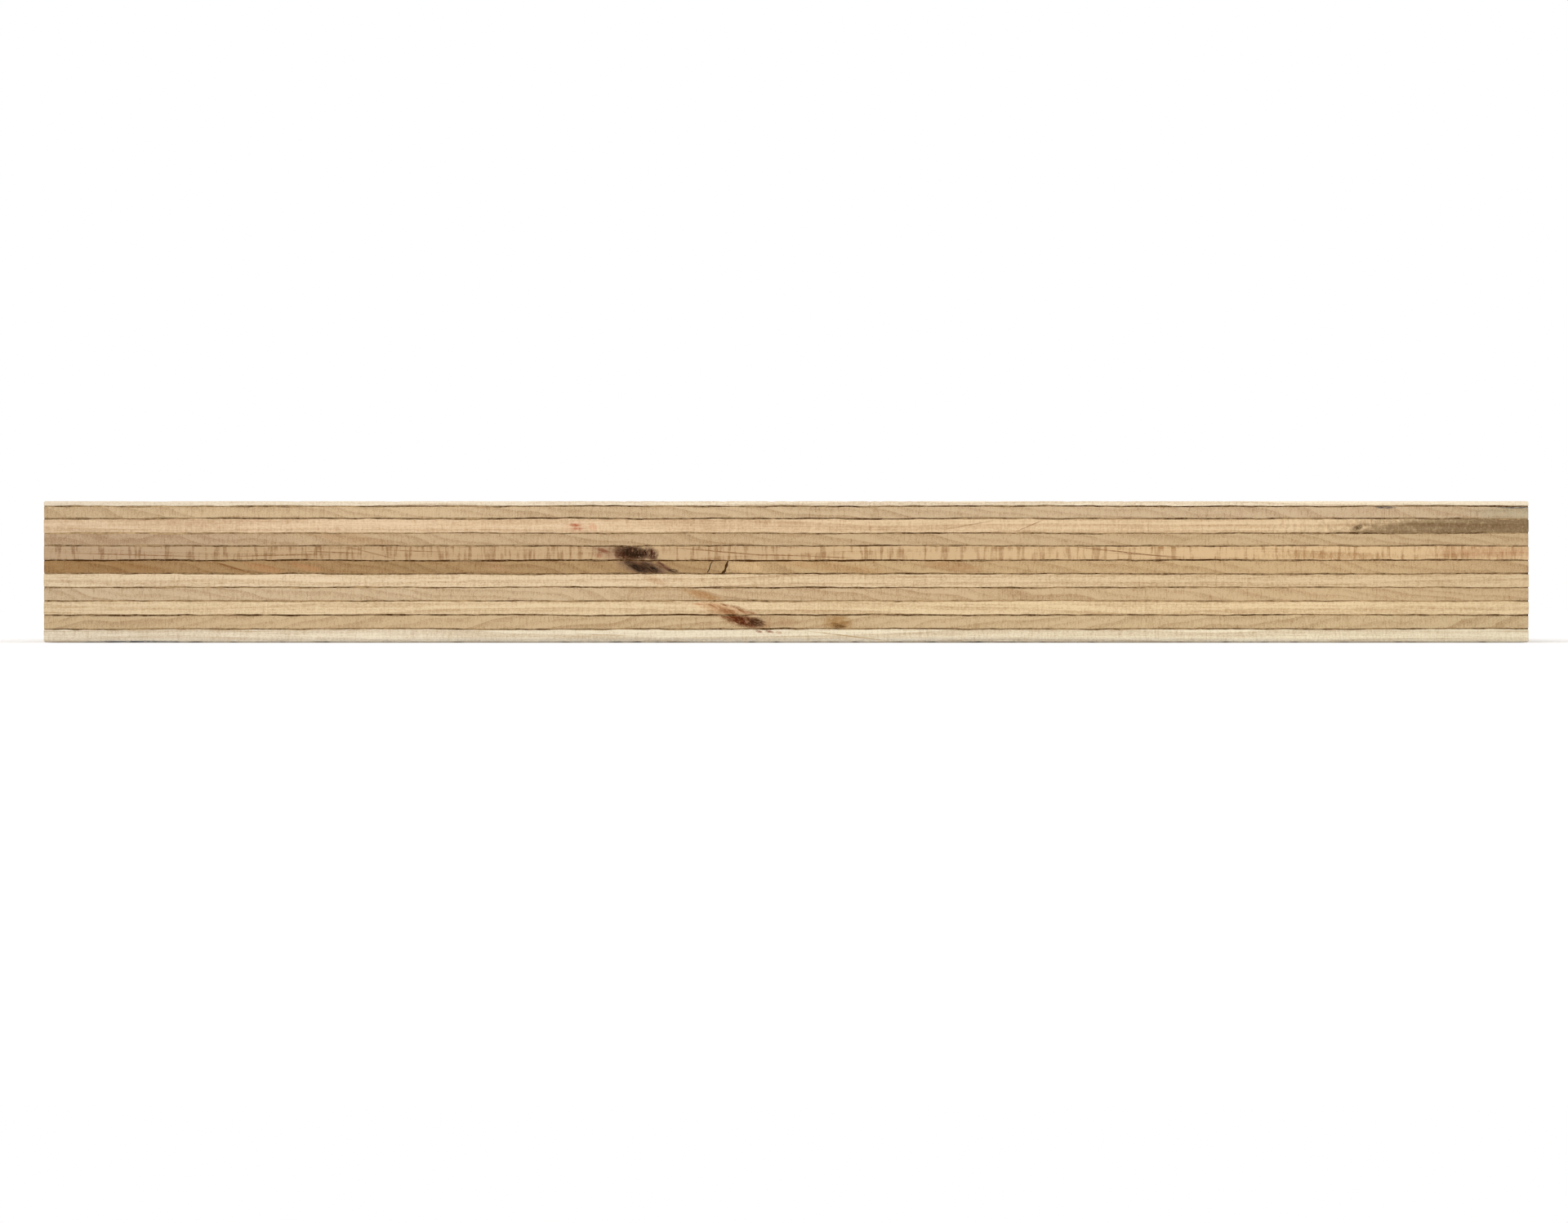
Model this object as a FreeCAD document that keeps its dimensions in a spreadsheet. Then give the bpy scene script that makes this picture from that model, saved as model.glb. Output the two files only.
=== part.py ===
# Scaffold plank: a short length of cross-banded laminated-veneer board.
#
# Eleven peeled veneers lie one on another, counted from the walking face down. The grain runs along the
# plank in the odd ones and across it in the even ones. A thin film of dark phenolic glue bonds each pair.
# The middle cross-band is laid from two strips that butt together at a slanted joint filled with resin.
#
# Frame: origin at the middle of the bearing (bottom) face, +X along the plank, +Y across it, +Z up.
# The front long edge is the -Y face. Units are millimetres.

import FreeCAD, Part
import os
import Sketcher

V = FreeCAD.Vector

# Driving dimensions. Veneers are numbered from the walking face down.
SIZES = {
    "plank_length": 401.0,
    "plank_width": 241.3,
    # the dark line between two veneers: the cured glue with the fibres that it has soaked
    "glue_film": 0.40,
    "veneer_01": 1.15,
    "veneer_02": 2.95,
    "veneer_03": 3.55,
    "veneer_04": 3.00,
    "veneer_05": 3.55,
    "veneer_06": 3.20,
    "veneer_07": 3.30,
    "veneer_08": 3.25,
    "veneer_09": 3.40,
    "veneer_10": 3.35,
    "veneer_11": 3.40,
    # sawn arrises of the two face veneers, eased with a light sanding
    "arris_ease": 0.40,
    # slanted butt joint in the middle veneer, measured along the plank from its middle, to the left
    "joint_top_offset": 15.5,
    "joint_bottom_offset": 17.2,
    "joint_gap": 0.50,
    # open drying check beside that joint, in the front edge
    "check_top_offset": 20.0,
    "check_bottom_offset": 21.3,
    "check_opening": 0.25,
    "check_depth": 8.0,
}
VENEER_COUNT = 11
STRIP_VENEER = 6

VENEER_NAMES = {
    1: "face_veneer_top",
    2: "crossband_veneer_02",
    3: "long_veneer_03",
    4: "crossband_veneer_04",
    5: "long_veneer_05",
    7: "long_veneer_07",
    8: "crossband_veneer_08",
    9: "long_veneer_09",
    10: "crossband_veneer_10",
    11: "face_veneer_bottom",
}


def make_sheet(doc):
    """Write every driving dimension to its own row, name beside value, with the name as alias."""
    sheet = doc.addObject("Spreadsheet::Sheet", "Sizes")
    for row, (name, value) in enumerate(SIZES.items(), start=1):
        sheet.set(f"A{row}", name)
        sheet.set(f"B{row}", str(value))
        sheet.setAlias(f"B{row}", name)
    doc.recompute()
    return sheet


def veneer_thickness(number):
    """Expression for one veneer's thickness."""
    return f"Sizes.veneer_{number:02d}"


def underside(number):
    """Expression for the height of a veneer's underside: all the veneers and glue films below it."""
    below = [veneer_thickness(n) for n in range(number + 1, VENEER_COUNT + 1)]
    films = len(below)
    return " + ".join(below + [f"{films} * Sizes.glue_film"])


def origin_plane(body, role):
    """One of the body's own origin planes, found by its role."""
    return next(f for f in body.Origin.OriginFeatures if f.Role == role)


def new_body(doc, label, height):
    """A PartDesign body whose origin stands at the given height expression."""
    body = doc.addObject("PartDesign::Body", label)
    body.Label = label
    body.setExpression("Placement.Base.z", height)
    return body


def new_sketch(body, role, name):
    """An empty sketch on one of the body's origin planes."""
    sketch = body.newObject("Sketcher::SketchObject", name)
    sketch.AttachmentSupport = [(origin_plane(body, role), "")]
    sketch.MapMode = "FlatFace"
    return sketch


def closed_outline(sketch, points):
    """Draw straight lines through the points and join their ends, back to the first."""
    count = len(points)
    for i in range(count):
        sketch.addGeometry(Part.LineSegment(V(*points[i], 0), V(*points[(i + 1) % count], 0)), False)
    for i in range(count):
        sketch.addConstraint(Sketcher.Constraint("Coincident", i, 2, (i + 1) % count, 1))


def bind(sketch, kind, line, end, name, expression):
    """Fix one end of a line by its distance from the sketch origin, driven by an expression."""
    point = sketch.getPoint(line, end)
    value = point.x if kind == "DistanceX" else point.y
    index = sketch.addConstraint(Sketcher.Constraint(kind, -1, 1, line, end, value))
    sketch.renameConstraint(index, name)
    sketch.setExpression(f"Constraints.{name}", expression)


def board_sketch(body):
    """The board's outline in plan: a rectangle centred on the origin."""
    sketch = new_sketch(body, "XY_Plane", "BoardOutline")
    x = SIZES["plank_length"] / 2
    y = SIZES["plank_width"] / 2
    closed_outline(sketch, [(-x, -y), (x, -y), (x, y), (-x, y)])
    for line, kind in enumerate(["Horizontal", "Vertical", "Horizontal", "Vertical"]):
        sketch.addConstraint(Sketcher.Constraint(kind, line))
    sketch.addConstraint(Sketcher.Constraint("Symmetric", 0, 1, 2, 1, -1, 1))
    length = sketch.addConstraint(Sketcher.Constraint("DistanceX", 0, 1, 0, 2, 2 * x))
    sketch.renameConstraint(length, "length")
    sketch.setExpression("Constraints.length", "Sizes.plank_length")
    width = sketch.addConstraint(Sketcher.Constraint("DistanceY", 1, 1, 1, 2, 2 * y))
    sketch.renameConstraint(width, "width")
    sketch.setExpression("Constraints.width", "Sizes.plank_width")
    return sketch


def make_layer(doc, label, thickness, height):
    """A full-size rectangular layer: a veneer or a glue film."""
    body = new_body(doc, label, height)
    pad = body.newObject("PartDesign::Pad", "Layer")
    pad.Profile = board_sketch(body)
    pad.setExpression("Length", thickness)
    doc.recompute()
    return body


def ease_arrises(doc, body, at_top):
    """Take the sharp edges off a face veneer's outer face with one small chamfer all round."""
    pad = body.Tip
    box = pad.Shape.BoundBox
    level = box.ZMax if at_top else box.ZMin
    edges = []
    for number, edge in enumerate(pad.Shape.Edges, start=1):
        if all(abs(vertex.Z - level) < 1e-6 for vertex in edge.Vertexes):
            edges.append(f"Edge{number}")
    chamfer = body.newObject("PartDesign::Chamfer", "EasedArris")
    chamfer.Base = (pad, edges)
    chamfer.setExpression("Size", "Sizes.arris_ease")
    doc.recompute()


def strip_sketch(body, corners):
    """A strip's outline from the front. Each corner is ((x, x_expression), is_top)."""
    sketch = new_sketch(body, "XZ_Plane", "StripOutline")
    top = SIZES[f"veneer_{STRIP_VENEER:02d}"]
    closed_outline(sketch, [(x, top if is_top else 0.0) for (x, _), is_top in corners])
    for i, ((_, expression), is_top) in enumerate(corners):
        bind(sketch, "DistanceX", i, 1, f"corner_{i}_along", expression)
        if is_top:
            bind(sketch, "DistanceY", i, 1, f"corner_{i}_height", veneer_thickness(STRIP_VENEER))
        else:
            sketch.addConstraint(Sketcher.Constraint("PointOnObject", i, 1, -1))
    return sketch


def joint_side(is_top, side):
    """Where the butt joint's left (-1) or right (+1) wall meets the veneer's top or underside."""
    name = "joint_top_offset" if is_top else "joint_bottom_offset"
    x = -SIZES[name] + side * SIZES["joint_gap"] / 2
    sign = "+" if side > 0 else "-"
    return x, f"-Sizes.{name} {sign} Sizes.joint_gap / 2"


def plank_end(side):
    """The plank's left (-1) or right (+1) end."""
    return side * SIZES["plank_length"] / 2, f"{side} * Sizes.plank_length / 2"


def make_strip(doc, label, corners):
    """A strip of the middle veneer, or its joint's resin: an outline run across the whole width."""
    body = new_body(doc, label, underside(STRIP_VENEER))
    pad = body.newObject("PartDesign::Pad", "Strip")
    pad.Profile = strip_sketch(body, corners)
    pad.Midplane = True
    pad.setExpression("Length", "Sizes.plank_width")
    doc.recompute()
    return body


def cut_check(doc, body):
    """Open a narrow drying check in the left strip's front edge, through its full thickness."""
    sketch = new_sketch(body, "XZ_Plane", "CheckOutline")
    half = SIZES["check_opening"] / 2
    top = SIZES[f"veneer_{STRIP_VENEER:02d}"]
    walls = [("check_bottom_offset", -1), ("check_bottom_offset", 1)]
    walls += [("check_top_offset", 1), ("check_top_offset", -1)]
    heights = [0.0, 0.0, top, top]
    closed_outline(sketch, [(-SIZES[name] + side * half, z) for (name, side), z in zip(walls, heights)])
    for i, ((name, side), z) in enumerate(zip(walls, heights)):
        bind(sketch, "DistanceX", i, 1, f"wall_{i}", f"-Sizes.{name} + {side} * Sizes.check_opening / 2")
        if z > 0:
            bind(sketch, "DistanceY", i, 1, f"height_{i}", veneer_thickness(STRIP_VENEER))
        else:
            sketch.addConstraint(Sketcher.Constraint("PointOnObject", i, 1, -1))
    # the sketch moves out to the front edge, and the pocket runs inwards from there
    sketch.setExpression("AttachmentOffset.Base.z", "Sizes.plank_width / 2")
    whole = body.Tip.Shape.Volume
    pocket = body.newObject("PartDesign::Pocket", "DryingCheck")
    pocket.Profile = sketch
    pocket.setExpression("Length", "Sizes.check_depth")
    doc.recompute()
    wanted = SIZES["check_opening"] * top * SIZES["check_depth"]
    removed = whole - body.Tip.Shape.Volume
    print(f"drying check removes {removed:.2f} mm3, wanted {wanted:.2f}")
    if abs(removed - wanted) > 0.05 * wanted:
        raise RuntimeError("the drying check cut the wrong amount")


def around(left_side, right_side):
    """Corners in order round an outline, from the bottom left, out of two sides given bottom first."""
    return [left_side[0], right_side[0], right_side[1], left_side[1]]


def make_middle_veneer(doc):
    """The two strips of the middle cross-band and the resin in the joint between them."""
    left_wall = [(joint_side(False, -1), False), (joint_side(True, -1), True)]
    right_wall = [(joint_side(False, 1), False), (joint_side(True, 1), True)]
    left_end = [(plank_end(-1), False), (plank_end(-1), True)]
    right_end = [(plank_end(1), False), (plank_end(1), True)]
    left = make_strip(doc, "crossband_veneer_06_left", around(left_end, left_wall))
    cut_check(doc, left)
    right = make_strip(doc, "crossband_veneer_06_right", around(right_wall, right_end))
    resin = make_strip(doc, "butt_joint_resin", around(left_wall, right_wall))
    return [left, right, resin]


def make_plank(doc):
    """Every veneer from the walking face down, and the glue film under each but the last."""
    pieces = []
    for number in range(1, VENEER_COUNT + 1):
        if number == STRIP_VENEER:
            pieces += make_middle_veneer(doc)
        else:
            veneer = make_layer(doc, VENEER_NAMES[number], veneer_thickness(number), underside(number))
            if number in (1, VENEER_COUNT):
                ease_arrises(doc, veneer, at_top=number == 1)
            pieces.append(veneer)
        if number < VENEER_COUNT:
            height = f"{underside(number)} - Sizes.glue_film"
            pieces.append(make_layer(doc, f"glue_line_{number:02d}", "Sizes.glue_film", height))
    return pieces


def check_model(doc, pieces):
    """Stop if any object failed, or a piece is missing, broken or not one solid."""
    for item in doc.Objects:
        if "Invalid" in item.State or "Error" in item.State:
            raise RuntimeError(f"{item.Name} failed: {item.State}")
    for piece in pieces:
        if piece.Shape.isNull() or not piece.Shape.isValid() or len(piece.Shape.Solids) != 1:
            raise RuntimeError(f"{piece.Label} is not one valid solid")


def write_parts(pieces):
    """Write one STEP file for each piece, named after its label."""
    os.makedirs("parts", exist_ok=True)
    for piece in pieces:
        piece.Shape.exportStep(f"parts/{piece.Label}.step")
        box = piece.Shape.BoundBox
        size = f"{box.XLength:.2f} x {box.YLength:.2f} x {box.ZLength:.2f}"
        print(f"{piece.Label}: {size} from z {box.ZMin:.2f}")


doc = FreeCAD.newDocument("scaffold_plank")
make_sheet(doc)
plank = make_plank(doc)
doc.recompute()
check_model(doc, plank)
write_parts(plank)
print(f"{len(plank)} pieces, plank height {max(p.Shape.BoundBox.ZMax for p in plank):.2f} mm")
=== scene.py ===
# %% [markdown]
# # A scaffold plank, veneer by veneer
# The plank is a short sawn length of laminated-veneer board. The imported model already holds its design:
# eleven peeled veneers, ten films of glue and a resin-filled butt joint. It is loaded here as the fixed
# frame, and every new piece takes its size and place from it. Blender only adds what the sheets of real
# wood look like.

# %% Load the frame
import math

import bmesh
import bpy
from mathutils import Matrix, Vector


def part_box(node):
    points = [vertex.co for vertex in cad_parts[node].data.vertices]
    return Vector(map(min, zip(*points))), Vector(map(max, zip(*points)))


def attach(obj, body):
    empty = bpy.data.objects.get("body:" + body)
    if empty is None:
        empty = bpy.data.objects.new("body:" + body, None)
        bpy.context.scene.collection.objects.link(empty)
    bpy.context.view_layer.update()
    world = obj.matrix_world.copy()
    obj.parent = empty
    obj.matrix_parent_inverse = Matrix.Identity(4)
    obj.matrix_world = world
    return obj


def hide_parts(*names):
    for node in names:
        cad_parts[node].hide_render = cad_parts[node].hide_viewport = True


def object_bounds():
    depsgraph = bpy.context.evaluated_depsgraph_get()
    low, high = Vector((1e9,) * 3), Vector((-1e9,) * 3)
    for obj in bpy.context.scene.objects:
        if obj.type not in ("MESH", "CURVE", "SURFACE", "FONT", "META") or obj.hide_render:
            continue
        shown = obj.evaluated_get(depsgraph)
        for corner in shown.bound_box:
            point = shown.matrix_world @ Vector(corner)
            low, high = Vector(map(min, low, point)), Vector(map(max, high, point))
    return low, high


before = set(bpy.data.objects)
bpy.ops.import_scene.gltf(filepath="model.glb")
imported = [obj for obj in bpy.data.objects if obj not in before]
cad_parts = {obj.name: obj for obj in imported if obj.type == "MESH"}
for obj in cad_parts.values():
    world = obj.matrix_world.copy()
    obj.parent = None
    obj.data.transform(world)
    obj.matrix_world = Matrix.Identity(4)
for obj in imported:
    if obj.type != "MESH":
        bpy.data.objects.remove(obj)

MM = 0.001
cad_low, cad_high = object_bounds()
plank_size = cad_high - cad_low
print(f"CAD plank: {plank_size.x / MM:.1f} x {plank_size.y / MM:.1f} x {plank_size.z / MM:.1f} mm")

# %% [markdown]
# ## Camera
# The board is looked at square-on, at one long edge, from well back, so that no face but that edge shows.
# A long lens does this. The camera stands a little below the middle of the edge and stays level: that
# places the board just above the middle of the picture with no lens shift.

# %% Place the camera
PICTURE_SHARE = 1.056  # the picture's width at the plank's front edge, in plank lengths
LENS_MM = 135.0
SENSOR_MM = 36.0
CAMERA_HEIGHT = 8.3 * MM
CAMERA_ALONG = -0.6 * MM

camera_data = bpy.data.cameras.new("camera")
camera_data.lens = LENS_MM
camera_data.sensor_width = SENSOR_MM
camera = bpy.data.objects.new("camera", camera_data)
bpy.context.scene.collection.objects.link(camera)
camera_distance = plank_size.x * PICTURE_SHARE * LENS_MM / SENSOR_MM
camera.location = (CAMERA_ALONG, cad_low.y - camera_distance, CAMERA_HEIGHT)
camera.rotation_euler = (math.radians(90), 0, 0)
bpy.context.scene.camera = camera
print(f"camera {camera_distance:.2f} m in front of the edge")

# %% [markdown]
# ## Floor and light
# A plain pale floor runs to the horizon under an even white sky. One broad sun from high in front, a
# little to the left, lights the sawn edge evenly from its arris down to the floor and throws the board's
# soft shadow behind it. The picture is shown with the plain "Standard" view, so that a pale wood stays as
# pale as it was mixed.

# %% Make the stage
FLOOR_SIZE = 40.0
FLOOR_GAP = 0.1 * MM  # the relief of the underside stays clear of the floor
FLOOR_PAINT = (0.9, 0.9, 0.9, 1)
FLOOR_ROUGHNESS = 0.9
SKY_WHITE = (1, 1, 1, 1)
SKY_STRENGTH = 1.0
SUN_STRENGTH = 0.9
SUN_SPREAD_DEG = 40.0
SUN_TILT_DEG = 48
SUN_TURN_DEG = -25

bpy.ops.object.select_all(action="DESELECT")
bpy.ops.mesh.primitive_plane_add(size=FLOOR_SIZE, location=(0, 0, cad_low.z - FLOOR_GAP))
floor = bpy.context.object
floor.name = "studio_floor"
floor_paint = bpy.data.materials.new("studio_floor_paint")
floor_paint.use_nodes = True
floor_shader = floor_paint.node_tree.nodes["Principled BSDF"]
floor_shader.inputs["Base Color"].default_value = FLOOR_PAINT
floor_shader.inputs["Roughness"].default_value = FLOOR_ROUGHNESS
floor.data.materials.append(floor_paint)

sky = bpy.data.worlds.new("studio_sky")
sky.use_nodes = True
sky.node_tree.nodes["Background"].inputs["Color"].default_value = SKY_WHITE
sky.node_tree.nodes["Background"].inputs["Strength"].default_value = SKY_STRENGTH
bpy.context.scene.world = sky

sun_data = bpy.data.lights.new("studio_sun", "SUN")
sun_data.energy = SUN_STRENGTH
sun_data.angle = math.radians(SUN_SPREAD_DEG)
sun = bpy.data.objects.new("studio_sun", sun_data)
sun.rotation_euler = (math.radians(SUN_TILT_DEG), 0, math.radians(SUN_TURN_DEG))
bpy.context.scene.collection.objects.link(sun)
bpy.context.scene.view_settings.view_transform = "Standard"
print("floor, sky and sun placed")

# %% [markdown]
# ## Selecting in code
# Modelling operators act on what is selected, as they do by hand. These helpers start each piece with
# nothing selected and then pick edges or faces by where they lie and which way they run.

# %% Selection helpers
NEAR = 1e-5  # metres: places closer than this are the same
TRUE_SHARE = 0.99  # an edge or a normal that keeps this much of its length along an axis follows it


def nothing_selected():
    """Leave edit mode and deselect every object."""
    if bpy.context.object and bpy.context.object.mode != "OBJECT":
        bpy.ops.object.mode_set(mode="OBJECT")
    bpy.ops.object.select_all(action="DESELECT")


def select_only(board):
    """Make one object the selected and active one."""
    nothing_selected()
    board.select_set(True)
    bpy.context.view_layer.objects.active = board


def pick(board, kind, wanted):
    """In edit mode, select only the faces or edges (kind) for which wanted(part) is true."""
    bpy.ops.mesh.select_mode(type={"faces": "FACE", "edges": "EDGE"}[kind])
    bpy.ops.mesh.select_all(action="DESELECT")
    mesh = bmesh.from_edit_mesh(board.data)
    for part in getattr(mesh, kind):
        if wanted(part):
            part.select_set(True)
    bmesh.update_edit_mesh(board.data)


def runs_along(edge, axis):
    """True if an edge runs along axis 0, 1 or 2."""
    run = edge.verts[1].co - edge.verts[0].co
    return abs(run[axis]) > TRUE_SHARE * run.length


# %% [markdown]
# ## A sheet of the stack
# Every veneer and glue film starts as a cube stretched to its CAD box. The two broad faces are inset to
# leave a rim, and the rim and the sawn edges are divided finely, because only they show. The hidden
# middle stays one flat face. A face veneer keeps its broad outer face divided too, for the relief it gets
# later.

# %% Build a finely divided sheet
RIM = 10.0 * MM
PAST_RIM = 1.2 * RIM  # only edges longer than this are divided along and across
EASE = 0.05 * MM
ARRIS = 0.40 * MM
BROAD = 0.018  # square metres: more than any face of a rim, less than any middle
# rounds of cuts along the plank and across it: 20 x 20 steps of about 1 mm, and 15 x 16
FULL_STEPS = ((20, 20), (15, 16))


def start_box(name, low, high):
    """A cube primitive stretched to a box, with its place in its mesh."""
    nothing_selected()
    bpy.ops.mesh.primitive_cube_add(size=1, location=(low + high) / 2, scale=high - low)
    box = bpy.context.object
    box.name = box.data.name = name
    bpy.ops.object.transform_apply(location=True, rotation=True, scale=True)
    return box


def divide(board, axis, counts, longer_than=0.0):
    """Cut every edge that runs along one axis into equal lengths, once for each count given."""
    for count in counts:
        pick(board, "edges", lambda edge: runs_along(edge, axis) and edge.calc_length() > longer_than)
        bpy.ops.mesh.subdivide(number_cuts=count - 1)


def divided_sheet(name, low, high, uprights=(3,), ease=EASE, steps=FULL_STEPS, shown_side=0):
    """A sheet with eased edges and a finely divided rim. A broad face that shows (shown_side is +1 for
    the top, -1 for the bottom) is divided all over and gets the wider arris of the plank's outside."""
    board = start_box(name, low, high)
    bpy.ops.object.mode_set(mode="EDIT")
    for side in (-1, 1):
        level = high.z if side > 0 else low.z
        shown = side == shown_side
        if shown or ease:
            pick(board, "edges", lambda edge: all(abs(v.co.z - level) < NEAR for v in edge.verts))
            bpy.ops.mesh.bevel(offset=ARRIS if shown else ease, segments=3 if shown else 1)
    pick(board, "faces", lambda face: abs(face.normal.z) > TRUE_SHARE)
    bpy.ops.mesh.inset(thickness=RIM)
    hidden = high.z if shown_side < 0 else low.z
    pick(board, "faces", lambda face: abs(face.normal.z) > TRUE_SHARE and face.calc_area() > BROAD
         and (shown_side == 0 or abs(face.calc_center_median().z - hidden) < NEAR))
    bpy.ops.mesh.delete(type="ONLY_FACE")
    divide(board, 2, uprights)
    divide(board, 0, steps[0], longer_than=PAST_RIM)
    divide(board, 1, steps[1], longer_than=PAST_RIM)
    bpy.ops.mesh.select_all(action="SELECT")
    bpy.ops.mesh.fill_holes(sides=0)
    bpy.ops.mesh.select_all(action="SELECT")
    bpy.ops.mesh.normals_make_consistent(inside=False)
    bpy.ops.object.mode_set(mode="OBJECT")
    return board


steps_along, steps_across = map(math.prod, FULL_STEPS)
print(f"rim {RIM / MM:.0f} mm wide, {steps_along} steps along, {steps_across} across")

# %% [markdown]
# ## Waves between the sheets
# Peeled veneer is never quite even, so the glue lines wander by a tenth or two of a millimetre. A
# Displace modifier reads one soft cloud texture in space and shifts the glued faces up or down by it.
# Both sheets that meet at a glue line read the same place in the same cloud, so they move together and
# stay in contact. An empty that is squashed in height serves as the texture's ruler, which makes each
# glue line wander in its own way.

# %% Wave the glued faces
WAVE_LENGTH = 26.0 * MM
WAVE_STRENGTH = 0.55 * MM
RAG_LENGTH = 3.4 * MM
RAG_STRENGTH = 0.36 * MM
RULER_HEIGHT_SHARE = 0.14
FLAT_MARGIN = 0.5 * MM  # the plank's own faces stay flat this far in


def cloud(name, size, depth=2):
    """A soft cloud texture whose lumps are about this size."""
    texture = bpy.data.textures.new(name, "CLOUDS")
    texture.noise_scale = size
    texture.noise_depth = depth
    return texture


def ruler(name, scale):
    """An empty that sets how a texture is stretched in space."""
    nothing_selected()
    bpy.ops.object.empty_add(location=(0, 0, 0))
    empty = bpy.context.object
    empty.name = name
    empty.scale = scale
    bpy.context.view_layer.update()
    return empty


def group_of(board, name, wanted):
    """A vertex group that holds every vertex for which wanted(place) is true."""
    group = board.vertex_groups.new(name=name)
    group.add([v.index for v in board.data.vertices if wanted(v.co)], 1.0, "REPLACE")
    return group.name


def displace(board, group, texture, stretch, direction, strength, middle=0.5):
    """Shift one vertex group by a texture, and apply it. middle is the grey that shifts nothing."""
    select_only(board)
    shift = board.modifiers.new("shift", "DISPLACE")
    shift.texture = texture
    shift.texture_coords = "OBJECT"
    shift.texture_coords_object = stretch
    shift.direction = direction
    shift.strength = strength
    shift.mid_level = middle
    shift.vertex_group = group
    bpy.ops.object.modifier_apply(modifier=shift.name)


wave_cloud = cloud("glue_wave", WAVE_LENGTH)
rag_cloud = cloud("glue_rag", RAG_LENGTH, depth=1)
wave_ruler = ruler("wave_ruler", (1, 1, RULER_HEIGHT_SHARE))


def near_edge(place, within):
    """True for a place that lies within this distance of the plank's sawn edges and ends."""
    return (abs(place.x) > plank_size.x / 2 - within) or (abs(place.y) > plank_size.y / 2 - within)


def wave_glued_faces(board, low, high):
    """Wave the outer rim, but leave the plank's own top and bottom faces flat."""
    flat_below = cad_low.z + FLAT_MARGIN if low.z < cad_low.z + NEAR else -math.inf
    flat_above = cad_high.z - FLAT_MARGIN if high.z > cad_high.z - NEAR else math.inf
    group = group_of(board, "glued", lambda place: near_edge(place, RIM / 2)
                     and flat_below < place.z < flat_above)
    displace(board, group, wave_cloud, wave_ruler, "Z", WAVE_STRENGTH)
    displace(board, group, rag_cloud, wave_ruler, "Z", RAG_STRENGTH)


print(f"glue lines wander over about {WAVE_LENGTH / MM:.0f} mm")

# %% [markdown]
# ## Sawn edges
# The saw leaves the edges a little uneven: faint upright ridges from its teeth, and each sheet stands
# slightly proud of its neighbour or shy of it, because the wood settles after the cut. The same modifier
# does this, with a cloud that is drawn out in height, moving the long edges across the plank and the ends
# along it.

# %% Roughen the sawn edges
SAW_RIDGE = 1.6 * MM
SAW_STRENGTH = 0.14 * MM
SAW_RULER_HEIGHT = 14.0
SAWN_DEPTH = 0.3 * MM  # what lies this close to the outside belongs to a sawn face
SMOOTH_DEG = 30

saw_cloud = cloud("saw_ridges", SAW_RIDGE, depth=1)
saw_ruler = ruler("saw_ruler", (1, 1, SAW_RULER_HEIGHT))


def roughen_sawn_faces(board):
    """Ridge the long edges and the ends of a sheet."""
    long_edges = group_of(board, "long_edges", lambda place: abs(place.y) > plank_size.y / 2 - SAWN_DEPTH)
    ends = group_of(board, "ends", lambda place: abs(place.x) > plank_size.x / 2 - SAWN_DEPTH)
    displace(board, long_edges, saw_cloud, saw_ruler, "Y", SAW_STRENGTH)
    displace(board, ends, saw_cloud, saw_ruler, "X", SAW_STRENGTH)


def smooth_faces(board):
    """Shade gentle bends smooth and keep the true edges sharp."""
    select_only(board)
    bpy.ops.object.shade_smooth_by_angle(angle=math.radians(SMOOTH_DEG))


print(f"saw ridges about {SAW_RIDGE / MM:.1f} mm apart")

# %% [markdown]
# ## The inner veneers
# Each full veneer is the same divided sheet, waved and roughened. A real sheet settles by a few
# hundredths of a millimetre after sawing, so each one is drawn in by its own small amount, which the next
# cell lists.

# %% Lay the full inner veneers
# how far each veneer is drawn in, in millimetres
SHY = {
    "crossband_veneer_02": 0.05,
    "long_veneer_03": 0.00,
    "crossband_veneer_04": 0.07,
    "long_veneer_05": 0.02,
    "crossband_veneer_06_left": 0.06,
    "crossband_veneer_06_right": 0.04,
    "long_veneer_07": 0.00,
    "crossband_veneer_08": 0.06,
    "long_veneer_09": 0.01,
    "crossband_veneer_10": 0.05,
}


def drawn_in(low, high, amount):
    """A box made smaller in plan by an amount on every side."""
    shy = Vector((amount, amount, 0))
    return low + shy, high - shy


pieces = {}
for node in SHY:
    if "06" in node:
        continue  # laid from two strips, made below
    low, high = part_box(node)
    veneer = divided_sheet(node, *drawn_in(low, high, SHY[node] * MM))
    wave_glued_faces(veneer, low, high)
    roughen_sawn_faces(veneer)
    smooth_faces(veneer)
    pieces[node] = veneer
print("inner veneers:", len(pieces))

# %% [markdown]
# ## The glue films
# A glue film is the same kind of sheet, far thinner. Because it reads the same wave cloud, it follows the
# veneers above and below it. It is drawn in a little, since the saw wears the brittle resin back.

# %% Lay the glue films
GLUE_SHY = 0.12 * MM
glue_nodes = sorted(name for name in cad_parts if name.startswith("glue_line"))
for node in glue_nodes:
    low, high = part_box(node)
    film = divided_sheet(node, *drawn_in(low, high, GLUE_SHY), uprights=(2,), ease=0)
    wave_glued_faces(film, low, high)
    roughen_sawn_faces(film)
    smooth_faces(film)
    pieces[node] = film
print("glue films:", len(glue_nodes))

# %% [markdown]
# ## The middle veneer, in two strips
# Short strips of veneer are butted together where a whole sheet would waste wood. Here the joint leans,
# and dark resin has run into it. Each strip is a divided sheet. Its end is leaned onto the joint's
# wavering line, and the last few columns before the end ease after it, so that none of them folds over
# its neighbour. The resin between the strips is one more thin sheet, shaped by the same line.

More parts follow.
